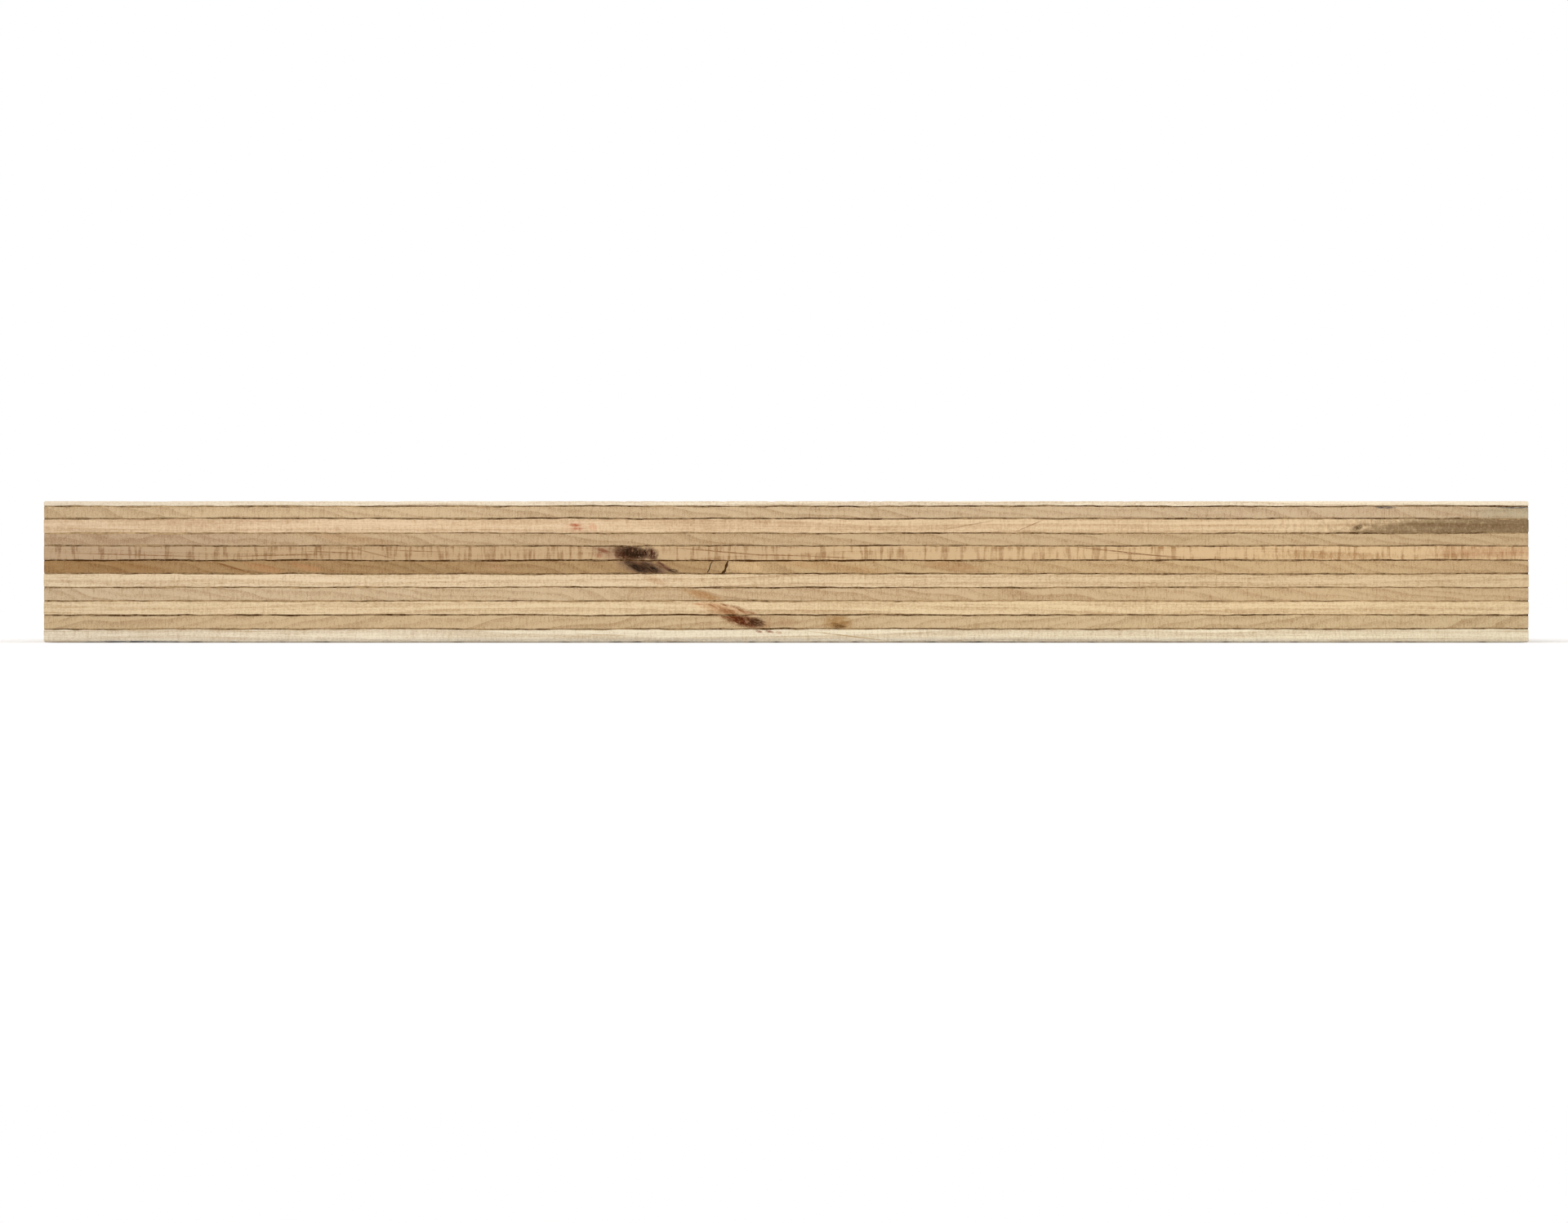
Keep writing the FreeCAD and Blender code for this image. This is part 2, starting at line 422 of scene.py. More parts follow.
# %% Lay the strips and the resin in their joint
joint_low, joint_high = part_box("butt_joint_resin")
JOINT_GAP = 0.5 * MM
JOINT_TOP_X = joint_high.x - JOINT_GAP / 2
JOINT_BOTTOM_X = joint_low.x + JOINT_GAP / 2
JOINT_WAVER = 0.30 * MM
JOINT_TURNS = 3.9  # radians of the waver over the veneer's thickness
JOINT_PHASE = 0.8
JOINT_SWING = 45.0  # radians of its change per metre across the plank
JOINT_REACH = 8.0 * MM  # how far into a strip its end's lean is felt, less than the rim
PLAIN_WIDTH = 0.8  # the joint's width between its blobs, in gaps
BLOBS = ((0.62, 0.9), (0.08, 1.3))  # how far up each blob of resin is, and what it adds, in gaps
BLOB_REACH = 0.16  # half height of a blob, as a share of the thickness
RESIN_SHY = 0.1 * MM
LEFT_STEPS = ((9, 20), (15, 16))
RIGHT_STEPS = ((11, 20), (15, 16))
JOINT_LEVELS = (8,)


def up_joint(place):
    """How far up the joint a place is, from 0 to 1."""
    return (place.z - joint_low.z) / (joint_high.z - joint_low.z)


def joint_middle(place):
    """Where the joint's middle is along the plank, at a height and a distance across it."""
    share = up_joint(place)
    lean = JOINT_BOTTOM_X + share * (JOINT_TOP_X - JOINT_BOTTOM_X)
    waver = math.sin(JOINT_TURNS * share + JOINT_PHASE) * math.cos(JOINT_SWING * place.y)
    return lean + JOINT_WAVER * waver


def joint_half_gap(place):
    """Half the joint's width: it opens to one blob above its middle and a wider one at its foot."""
    width = PLAIN_WIDTH
    for height, swell in BLOBS:
        width += swell * math.exp(-((up_joint(place) - height) / BLOB_REACH) ** 2)
    return JOINT_GAP / 2 * width


def fit_to_joint(board, side):
    """Lean one end of a sheet onto the joint's left (-1) or right (+1) wall, and ease its last columns
    after it."""
    places = [vertex.co.x for vertex in board.data.vertices]
    end = max(places) if side < 0 else min(places)
    for vertex in board.data.vertices:
        share = 1 - abs(vertex.co.x - end) / JOINT_REACH
        if share > 0:
            wall = joint_middle(vertex.co) + side * joint_half_gap(vertex.co)
            vertex.co.x += (wall - end) * share


strips = {"crossband_veneer_06_left": (LEFT_STEPS, -1), "crossband_veneer_06_right": (RIGHT_STEPS, 1)}
for node, (steps, side) in strips.items():
    low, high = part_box(node)
    strip = divided_sheet(node, *drawn_in(low, high, SHY[node] * MM), uprights=JOINT_LEVELS, steps=steps)
    fit_to_joint(strip, side)
    wave_glued_faces(strip, low, high)
    roughen_sawn_faces(strip)
    pieces[node] = strip

low, high = drawn_in(joint_low, joint_high, RESIN_SHY)
resin = start_box("butt_joint_resin", low, high)
bpy.ops.object.mode_set(mode="EDIT")
divide(resin, 2, JOINT_LEVELS)
divide(resin, 1, FULL_STEPS[1])
bpy.ops.object.mode_set(mode="OBJECT")
for vertex in resin.data.vertices:
    side = -1 if vertex.co.x < (low.x + high.x) / 2 else 1
    vertex.co.x = joint_middle(vertex.co) + side * joint_half_gap(vertex.co)
roughen_sawn_faces(resin)
smooth_faces(resin)
pieces["butt_joint_resin"] = resin
print(f"joint leans {abs(JOINT_TOP_X - JOINT_BOTTOM_X) / MM:.1f} mm over the veneer's thickness")

# %% [markdown]
# ## Checks and torn fibres
# A check is a crack that opens as wood dries. Each one is cut as a real slot: a thin box is tapered to a
# tenth of its width at its inner end, leaned and bent, and taken away from the veneer with a Boolean
# modifier.

# %% Cut the checks
front = cad_low.y
SLOT_OVERLAP = 1.0 * MM  # how far a cutter stands out in front of the edge
SLOT_LEVELS = (8,)
SLOT_TAPER = 0.1  # a slot's width at its inner end, as a share of its width at the edge
# in millimetres: x at the foot and the top, wood left below and above, width, depth and bend
CHECKS = (
    ("crossband_veneer_06_left", -21.3, -20, 0.15, 0.15, 0.28, 8, 0.12),
    ("long_veneer_05", -37.9, -38.2, 1.3, 0.9, 0.30, 4, 0.08),
    ("long_veneer_05", -36.5, -36.4, 0.9, 0.8, 0.20, 4, 0),
)


def cut_slot(board, x_low, x_high, z_low, z_high, width, depth, bend):
    """Cut a thin leaning slot into the front edge, from (x_low, z_low) up to (x_high, z_high)."""
    middle = Vector(((x_low + x_high) / 2, front, (z_low + z_high) / 2))
    half = Vector((width / 2, 0, (z_high - z_low) / 2))
    outer_corner = middle - half - Vector((0, SLOT_OVERLAP, 0))
    inner_corner = middle + half + Vector((0, depth, 0))
    cutter = start_box("slot_cutter", outer_corner, inner_corner)
    bpy.ops.object.mode_set(mode="EDIT")
    divide(cutter, 2, SLOT_LEVELS)
    bpy.ops.object.mode_set(mode="OBJECT")
    for vertex in cutter.data.vertices:
        share = (vertex.co.z - z_low) / (z_high - z_low)
        if vertex.co.y > front:
            vertex.co.x = middle.x + (vertex.co.x - middle.x) * SLOT_TAPER
        vertex.co.x += (share - 0.5) * (x_high - x_low) + bend * math.sin(math.tau * share)
    select_only(board)
    cut = board.modifiers.new("cut", "BOOLEAN")
    cut.operation = "DIFFERENCE"
    cut.solver = "EXACT"
    cut.object = cutter
    bpy.ops.object.modifier_apply(modifier=cut.name)
    bpy.data.objects.remove(cutter)


for node, x_foot, x_top, below, above, width, depth, bend in CHECKS:
    low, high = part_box(node)
    z_foot, z_top = low.z + below * MM, high.z - above * MM
    cut_slot(pieces[node], x_foot * MM, x_top * MM, z_foot, z_top, width * MM, depth * MM, bend * MM)
for node in ("crossband_veneer_06_left", "crossband_veneer_06_right", "long_veneer_05"):
    smooth_faces(pieces[node])
print("checks cut, faces in the left strip:", len(pieces["crossband_veneer_06_left"].data.polygons))

# %% [markdown]
# ## The face veneers
# The top and bottom sheets show their broad sides, so these stay divided all over. The outer arris has a
# light round, and the saw has torn small splinters from it: a high-contrast cloud pushes single arris
# vertices inwards. The broad side gets the low swells of raised grain, long in the direction of the grain
# and short across it.

# %% Lay the face veneers
FACE_STEPS = ((20, 15), (15, 12))
SWELL = 5.0 * MM
SWELL_STRENGTH = 0.16 * MM
SWELL_STRETCH = 7.0
SWELL_START = 1.5 * ARRIS  # how far in from the sawn edges the swells begin
CHIP = 1.7 * MM
CHIP_STRENGTH = -0.24 * MM
CHIP_CONTRAST = 4.5
CHIP_BRIGHTNESS = 0.25
CHIP_STRETCH = 1.5
CHIP_REACH = 1.3 * ARRIS
# each face veneer with the side that shows and its rounds of upright cuts
FACE_SHEETS = (("face_veneer_top", 1, (2,)), ("face_veneer_bottom", -1, (3,)))

swell_cloud = cloud("raised_grain", SWELL, depth=1)
swell_ruler = ruler("swell_ruler", (SWELL_STRETCH, 1, 1))
chip_cloud = cloud("arris_chips", CHIP, depth=2)
chip_cloud.contrast = CHIP_CONTRAST
chip_cloud.intensity = CHIP_BRIGHTNESS
chip_cloud.use_clamp = True
chip_ruler = ruler("chip_ruler", (CHIP_STRETCH, CHIP_STRETCH, 1))


def chip_arris(board, level):
    """Tear splinters out of the arris at this height."""
    arris = group_of(board, "arris", lambda place: abs(place.z - level) < CHIP_REACH
                     and near_edge(place, CHIP_REACH))
    displace(board, arris, chip_cloud, chip_ruler, "NORMAL", CHIP_STRENGTH, middle=0.0)


for node, side, uprights in FACE_SHEETS:
    low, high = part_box(node)
    veneer = divided_sheet(node, low, high, uprights=uprights, steps=FACE_STEPS, shown_side=side)
    wave_glued_faces(veneer, low, high)
    roughen_sawn_faces(veneer)
    level = high.z if side > 0 else low.z
    broad = group_of(veneer, "broad", lambda place: abs(place.z - level) < NEAR
                     and not near_edge(place, SWELL_START))
    displace(veneer, broad, swell_cloud, swell_ruler, "Z", SWELL_STRENGTH)
    chip_arris(veneer, level)
    smooth_faces(veneer)
    pieces[node] = veneer
    print(node, "faces:", len(veneer.data.polygons))
for empty in (wave_ruler, saw_ruler, swell_ruler, chip_ruler):
    bpy.data.objects.remove(empty)
print("pieces laid:", len(pieces), "of", len(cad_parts))

# %% [markdown]
# ## Mixing finishes from nodes
# All the wood below is solid: its pattern is worked out in space from Object coordinates, so the figure
# on the broad face, the streaks on a long-grain edge and the rings on an end-grain edge all belong to one
# sheet and meet at its arrises. These small helpers keep each finish short: they add a node, fill its
# inputs in order and hand back its output. Lengths in the patterns are in millimetres.

# %% Node helpers
NORMAL_OUTPUT = 1  # of a Texture Coordinate node
OBJECT_OUTPUT = 3
SEED_STEP = (7.31, 3.17, 5.73)  # how far one step of a seed moves a noise, so that no two are alike


def add(tree, kind, *values, out=0, **options):
    """Add a shader node, fill its inputs in order (None leaves one alone) and hand back one output."""
    made = tree.nodes.new("ShaderNode" + kind)
    for option, value in options.items():
        setattr(made, option, value)
    for place, value in zip([i for i in made.inputs if i.enabled], values):
        if isinstance(value, bpy.types.NodeSocket):
            tree.links.new(value, place)
        elif value is not None:
            place.default_value = value
    return [o for o in made.outputs if o.enabled][out]


def sums(tree, kind, *values):
    """A Math node: add, subtract, multiply and so on."""
    return add(tree, "Math", *values, operation=kind)


def fade(tree, value, start, end, low=0.0, high=1.0):
    """Turn a value into low before start and high after end, smoothly between."""
    return add(tree, "MapRange", value, start, end, low, high, interpolation_type="SMOOTHSTEP")


def clamped(tree, value):
    """Keep a value between 0 and 1."""
    return sums(tree, "MINIMUM", sums(tree, "MAXIMUM", value, 0.0), 1.0)


def mix(tree, share, first, second, kind="MIX"):
    """Mix two colours by a share from 0 to 1."""
    return add(tree, "Mix", share, first, second, data_type="RGBA", blend_type=kind)


def lumps(tree, place, size, seed, detail=2.0, roughness=0.5):
    """Noise whose lumps are size = (x, y, z) millimetres long, around 0.5."""
    shift = tuple(seed * step for step in SEED_STEP)
    scale = tuple(1 / length for length in size)
    moved = add(tree, "Mapping", place, shift, (0, 0, 0), scale)
    return add(tree, "TexNoise", moved, 1.0, detail, roughness)


def linear(red, green, blue):
    """A colour given from 0 to 255, as the shader's linear colour."""
    shares = [channel / 255 for channel in (red, green, blue)]
    return tuple(c / 12.92 if c < 0.04045 else ((c + 0.055) / 1.055) ** 2.4 for c in shares) + (1.0,)


def tinted(colour, red, green, blue):
    """A colour with each channel multiplied."""
    return (colour[0] * red, colour[1] * green, colour[2] * blue, 1.0)


def new_finish(name):
    """A material with only a Principled shader and its output, and the object's place in millimetres."""
    material = bpy.data.materials.new(name)
    material.use_nodes = True
    tree = material.node_tree
    shader = tree.nodes["Principled BSDF"]
    spot = add(tree, "TexCoord", out=OBJECT_OUTPUT)
    place = add(tree, "VectorMath", spot, 1 / MM, operation="SCALE")
    return material, tree, shader, place


print("sample colour, linear:", [round(c, 2) for c in linear(215, 188, 150)])

# %% [markdown]
# ## Marks in the wood
# Knots, pitch streaks, stains and a band of painted shade are ellipsoids placed on the front edge. A
# Mapping node of the Texture kind measures how far a spot lies from the centre in the mark's own leaning
# axes, and noise frays its rim and streaks its inside. Each reaches some way into the wood, so it wraps an
# arris as a real one does. Stains and the painted shade are laid under the grain, so that the grain shows
# through them; a knot is laid over the grain and hides it.

# %% Add a mark
MARK_DEPTH = 9.0
EDGE_Y = cad_low.y / MM
LONG_FLECK = (1.3, 3.0, 0.36)  # streaks that lie along the mark
DASH_FLECK = (0.8, 3.0, 0.42)  # torn dashes
UPRIGHT_FLECK = (0.34, 3.0, 1.3)  # short upright strokes, as a knot's own rays leave
WATER_FLECK = (0.8, 3.0, 1.8)  # the mottle of a water stain
STAIN_AND_SHADE_FLECK = (2.6, 3.0, 0.9)  # soft patches
MARK_RIM = (0.55, 1.1)  # a mark thins out between these shares of its reach
FLECK_RIM = (0.38, 0.58)  # the noise levels between which a fleck begins


def add_mark(tree, place, colour, mark, seed, fleck=LONG_FLECK, floor=0.40, gain=(1, 1, 1)):
    """Lay one mark over a colour. A mark is (x, z, half length, half height, lean, shade, strength,
    fray), and may end in a fleck of its own. floor is how much of it is left between its flecks."""
    x, z, length, height, lean, shade, strength, fray, *own_fleck = mark
    turned = add(tree, "Mapping", place, (x, EDGE_Y, z), (0, math.radians(lean), 0), (1, 1, 1),
                 vector_type="TEXTURE")
    shares = add(tree, "VectorMath", turned, (length, MARK_DEPTH, height), operation="DIVIDE")
    reach = add(tree, "VectorMath", shares, operation="LENGTH")
    frayed = lumps(tree, turned, own_fleck[0] if own_fleck else fleck, seed, detail=3.0, roughness=0.65)
    offset = sums(tree, "MULTIPLY_ADD", frayed, 2 * fray, -fray)
    inside = fade(tree, sums(tree, "ADD", reach, offset), *MARK_RIM, strength, 0.0)
    streaky = sums(tree, "MULTIPLY", inside, fade(tree, frayed, *FLECK_RIM, floor, 1.0))
    return mix(tree, streaky, colour, tinted(linear(*shade), *gain))


# %% [markdown]
# ## Veneer
# Peeled veneer is cut almost along the growth rings, so in its thickness they lie at a low angle, as long
# slanting bands on an end-grain edge and as near-level lines on a long-grain one, and on the broad face
# they spread into wide, wandering figure. Fibres and rays are noise drawn out along the grain: rays show
# as upright ticks on an end-grain edge and as bars on a long-grain one. Cut ends drink light, so end
# grain is the darker. Every sheet shares this recipe and differs in its tones, its lean, and how much of
# each mark it shows.

# %% Mix a veneer finish
EDGE_GAIN = (0.83, 0.85, 0.87)  # the studio light's own strength on a sawn edge, taken back out
END_GRAIN_TINT = (0.84, 0.79, 0.72)
FACE_TINT = (0.98, 0.93, 0.86, 1)
SPRING = (1.15, 1.15, 1.15, 1)
LATE = (0.66, 0.54, 0.44, 1)
HANDLED = 0.93  # the board's two ends are a little darker than its middle
HANDLED_RUN = (140, 200)  # millimetres from the middle over which they darken
TONE_RUN = 190  # millimetres from the middle to where the end tones are full
TONE_WANDER = 80.0  # how far the blotches carry a tone along the plank
RING_SPACING = 2.6
RING_DRIFT = 5.0  # how many rings a sheet wanders through
RAY_WEIGHT = {"along": 0.26, "across": 0.38}
RING_WEIGHT = 0.32
BLOTCH_WEIGHT = 0.30
SAW_WEIGHT = 0.34
MEAN_DEPTH = 0.30  # the tone of plain wood, from spring wood at 0 to late wood at 1
STAIN_AND_SHADE_FLOOR = 0.55
STAIN_AND_SHADE_SEEDS = 30
KNOT_SEEDS = 10
WOOD_ROUGHNESS = (0.58, 0.82)
WOOD_SPECULAR = 0.04
RELIEF_STRENGTH = 0.6
RELIEF_HEIGHT = 0.12 * MM
# the lumps of each pattern in millimetres: along the grain, across it and up through the sheet
DRIFT_SIZE = (150, 34, 14)
FIBRE_SIZE = (16, 0.42, 0.34)
GRIT_SIZE = (0.7, 0.42, 0.30)
RAY_SIZE = (0.42, 0.3, 1.9)
BLOTCH_SIZE = (46, 24, 7)
BAR_SIZE = (0.9, 8.0, 6.0)
SPLIT_SIZE = (30, 0.7, 60)
SCRATCH_SIZE = (0.55, 1.0, 60.0)


def veneer_finish(name, grain, left, right, seed, lean=9.0, fibres=0.50, bars=0.0, stains_and_painted_shade=(), knots=()):
    """The finish of one veneer. grain is along or across, and left and right are its tones at the
    plank's two ends."""
    material, tree, shader, place = new_finish(name)
    parts = tree.nodes.new("ShaderNodeSeparateXYZ")
    tree.links.new(place, parts.inputs[0])
    x, y, z = parts.outputs
    along, across = (x, y) if grain == "along" else (y, x)
    wood = add(tree, "CombineXYZ", along, across, z)
    facing = tree.nodes.new("ShaderNodeSeparateXYZ")
    normal = add(tree, "TexCoord", out=NORMAL_OUTPUT)
    tree.links.new(add(tree, "VectorMath", normal, operation="ABSOLUTE"), facing.inputs[0])
    to_end, to_edge, to_face = facing.outputs
    end_grain = fade(tree, to_end if grain == "along" else to_edge, 0.5, 0.9)
    on_face = fade(tree, to_face, 0.5, 0.9)

    # growth rings: level planes that lean across the grain and drift along it
    drift = lumps(tree, wood, DRIFT_SIZE, seed, detail=2.0)
    leaning = sums(tree, "MULTIPLY_ADD", across, math.tan(math.radians(lean)), z)
    ring_count = sums(tree, "MULTIPLY_ADD", drift, RING_DRIFT, sums(tree, "DIVIDE", leaning, RING_SPACING))
    within = sums(tree, "FRACT", ring_count)
    late = sums(tree, "MULTIPLY", fade(tree, within, 0.25, 0.92), fade(tree, within, 0.93, 1.0, 1.0, 0.0))
    year = add(tree, "TexWhiteNoise", sums(tree, "ADD", sums(tree, "FLOOR", ring_count), seed),
               noise_dimensions="1D")

    fibre = lumps(tree, wood, FIBRE_SIZE, seed + 1, detail=3.0, roughness=0.6)
    grit = lumps(tree, wood, GRIT_SIZE, seed + 2, detail=2.0, roughness=0.7)
    ray = fade(tree, lumps(tree, wood, RAY_SIZE, seed + 3, detail=2.0), 0.48, 0.74)
    blotch = lumps(tree, wood, BLOTCH_SIZE, seed + 4, detail=3.0, roughness=0.55)
    bar = fade(tree, lumps(tree, wood, BAR_SIZE, seed + 5, detail=1.0, roughness=0.5), 0.44, 0.70)

    # the lathe's knife opens hair-fine splits that run with the grain and show on the broad faces
    opened = lumps(tree, wood, SPLIT_SIZE, seed + 7, detail=1.0)
    split = sums(tree, "MULTIPLY", on_face, fade(tree, opened, 0.70, 0.76))

    # the saw's upright scratches run on the edges and the ends, and not on the broad faces
    sawn_along = sums(tree, "ADD", sums(tree, "MULTIPLY", x, to_edge), sums(tree, "MULTIPLY", y, to_end))
    edge_place = add(tree, "CombineXYZ", sawn_along, 0.0, z)
    sawn = lumps(tree, edge_place, SCRATCH_SIZE, seed + 6, detail=2.0, roughness=0.7)

    # each pattern has a weight and the middle level that it deepens or lightens the tone around
    patterns = (
        (late, RING_WEIGHT, 0.3),
        (year, RING_WEIGHT * 0.7, 0.5),
        (fibre, fibres * 2.2, 0.5),
        (grit, fibres * 2.4, 0.5),
        (ray, RAY_WEIGHT[grain], 0.35),
        (blotch, BLOTCH_WEIGHT * 2.0, 0.5),
        (sawn, SAW_WEIGHT * 2.0, 0.5),
        (bar, bars, 0.4),
        (split, 0.5, 0.02),
    )
    depth = MEAN_DEPTH
    for pattern, weight, middle in patterns:
        change = sums(tree, "MULTIPLY", sums(tree, "SUBTRACT", pattern, middle), weight)
        depth = sums(tree, "ADD", depth, change)
    depth = clamped(tree, depth)

    # the front edge shows the cross-bands' end grain, so their tones are lifted by what that takes
    lift = END_GRAIN_TINT if grain == "across" else (1, 1, 1)
    gain = [light / drink for light, drink in zip(EDGE_GAIN, lift)]
    wander = sums(tree, "MULTIPLY_ADD", blotch, 2 * TONE_WANDER, -TONE_WANDER)
    tone = mix(tree, fade(tree, sums(tree, "ADD", x, wander), -TONE_RUN, TONE_RUN),
               tinted(linear(*left), *gain), tinted(linear(*right), *gain))
    handled = fade(tree, sums(tree, "ABSOLUTE", x), *HANDLED_RUN, 1.0, HANDLED)
    tone = mix(tree, 1.0, tone, handled, "MULTIPLY")
    # stains, and the band of painted shade on the bottom veneer, go into the tone under the grain
    for number, under_grain_mark in enumerate(stains_and_painted_shade, seed + STAIN_AND_SHADE_SEEDS):
        tone = add_mark(tree, place, tone, under_grain_mark, number, STAIN_AND_SHADE_FLECK, STAIN_AND_SHADE_FLOOR, gain)
    pale = mix(tree, 1.0, tone, SPRING, "MULTIPLY")
    deep = mix(tree, 1.0, tone, LATE, "MULTIPLY")
    colour = mix(tree, depth, pale, deep)
    colour = mix(tree, end_grain, colour, mix(tree, 1.0, colour, (*END_GRAIN_TINT, 1), "MULTIPLY"))
    colour = mix(tree, on_face, colour, mix(tree, 1.0, colour, FACE_TINT, "MULTIPLY"))
    for number, knot in enumerate(knots, seed + KNOT_SEEDS):
        colour = add_mark(tree, place, colour, knot, number)
    tree.links.new(colour, shader.inputs["Base Color"])

    tree.links.new(fade(tree, fibre, 0.3, 0.7, *WOOD_ROUGHNESS), shader.inputs["Roughness"])
    shader.inputs["Specular IOR Level"].default_value = WOOD_SPECULAR
    relief = sums(tree, "ADD", sums(tree, "MULTIPLY", fibre, 0.5), sums(tree, "MULTIPLY", sawn, 0.5))
    relief = sums(tree, "SUBTRACT", relief, sums(tree, "MULTIPLY", sums(tree, "ADD", ray, late), 0.15))
    bump = add(tree, "Bump", RELIEF_STRENGTH, RELIEF_HEIGHT, None, relief)
    tree.links.new(bump, shader.inputs["Normal"])
    return material


print("veneer recipe ready")

# %% [markdown]
# ## A streak through the middle
# One branch trace crosses the stack: it enters the fifth veneer as a dark knot near the middle, leans
# down to the right through the sixth, fades in the seventh and eighth, and comes back as a red-brown
# streak in the ninth and tenth. Each veneer only shows its own slice of it. The other marks are a brown
# water stain in the third veneer's right end, a few red flecks, blue-black mould along the top glue line,
# and a long grey band of painted shade, the floor's contact shadow, along the foot of the bottom veneer.

# %% List the stains, the painted shade and the knots
MAROON = (72, 38, 20)
RED_BROWN = (126, 78, 42)
BLUSH = (214, 168, 136)
MAUVE = (180, 152, 122)
INK = (58, 60, 68)
BLACK_BROWN = (38, 24, 14)
WATER_BROWN = (154, 129, 96)
LATE_LINE = (128, 90, 56)
DEEP_BROWN = (88, 66, 36)
RED_DASH = (164, 92, 62)
KNOT_BLACK = (40, 24, 10)
PALE_LINE = (168, 142, 104)
RUST = (128, 74, 50)

STAINS_AND_PAINTED_SHADE = {
    "crossband_veneer_02": [(197, 35, 14, 2.2, 0, (176, 163, 134), 0.7, 0.4)],
    "long_veneer_03": [
        (-57, 31, 3.4, 1.8, 0, BLUSH, 0.5, 0.6),
        (164, 30.3, 17, 1.9, -9, (158, 132, 96), 1, 0.7),
        (233, 31, 84, 7.5, -1, WATER_BROWN, 1.4, 0.6),
    ],
    "crossband_veneer_04": [
        (-205, 27.7, 80, 6, 0, MAUVE, 0.8, 0.4),
        (-118, 28, 16, 1.6, 8, (172, 134, 96), 0.5, 0.8),
    ],
    "long_veneer_05": [
        (-205, 24, 60, 6, 0, MAUVE, 0.7, 0.4),
        (-45.5, 24.3, 8.5, 3, 10, (164, 132, 102), 0.9, 0.6),
    ],
    "crossband_veneer_06_left": [
        (-190, 20, 30, 3, 4, (148, 110, 68), 0.6, 0.6),
        (-177, 20.8, 8, 0.9, 8, (152, 112, 68), 0.5, 0.9),
        (-141, 20.1, 6, 1.1, 12, (178, 130, 88), 0.7, 0.9),
        (-129.5, 20.3, 5.5, 1, 14, (180, 132, 90), 0.7, 0.9),
        (-100, 20, 14, 1.4, 6, (152, 124, 84), 0.6, 0.9),
        (-78.5, 20.3, 4, 1.1, 14, (184, 146, 108), 0.6, 0.9),
        (-38.5, 20.3, 8.5, 2.6, 12, (126, 98, 74), 1.2, 0.5),
    ],
    "crossband_veneer_06_right": [
        (-10.5, 20.4, 5, 2.8, 0, (208, 174, 130), 0.8, 0.5),
        (12, 20.4, 20, 1.6, 6, (176, 132, 84), 0.45, 0.8),
        (45, 20.4, 10, 1.6, 6, (160, 112, 70), 0.55, 0.9),
    ],
    "long_veneer_07": [(-35, 16.6, 3.6, 1, 20, (194, 156, 118), 0.7, 0.9)],
    "crossband_veneer_08": [(-22.6, 12.7, 6.4, 1.4, 14, (190, 152, 106), 0.8, 0.9)],
    "long_veneer_09": [(-17.6, 9.1, 8.5, 1.9, 14, (214, 174, 132), 0.9, 0.9)],
    "crossband_veneer_10": [
        (-11, 5.8, 8, 1.9, 14, (166, 124, 86), 0.9, 0.8),
        (-2, 5.6, 7, 1.8, 4, (176, 142, 104), 0.6, 0.7),
        (14, 5.2, 4.6, 2.6, 0, (168, 130, 82), 0.9, 0.6),
    ],
    # this grey band along the foot of the bottom veneer is painted shade, the floor's contact shadow, laid
    # in like a stain
    "face_veneer_bottom": [(0, -0.3, 300, 1.6, 0, (192, 184, 170), 0.7, 0.5)],
}
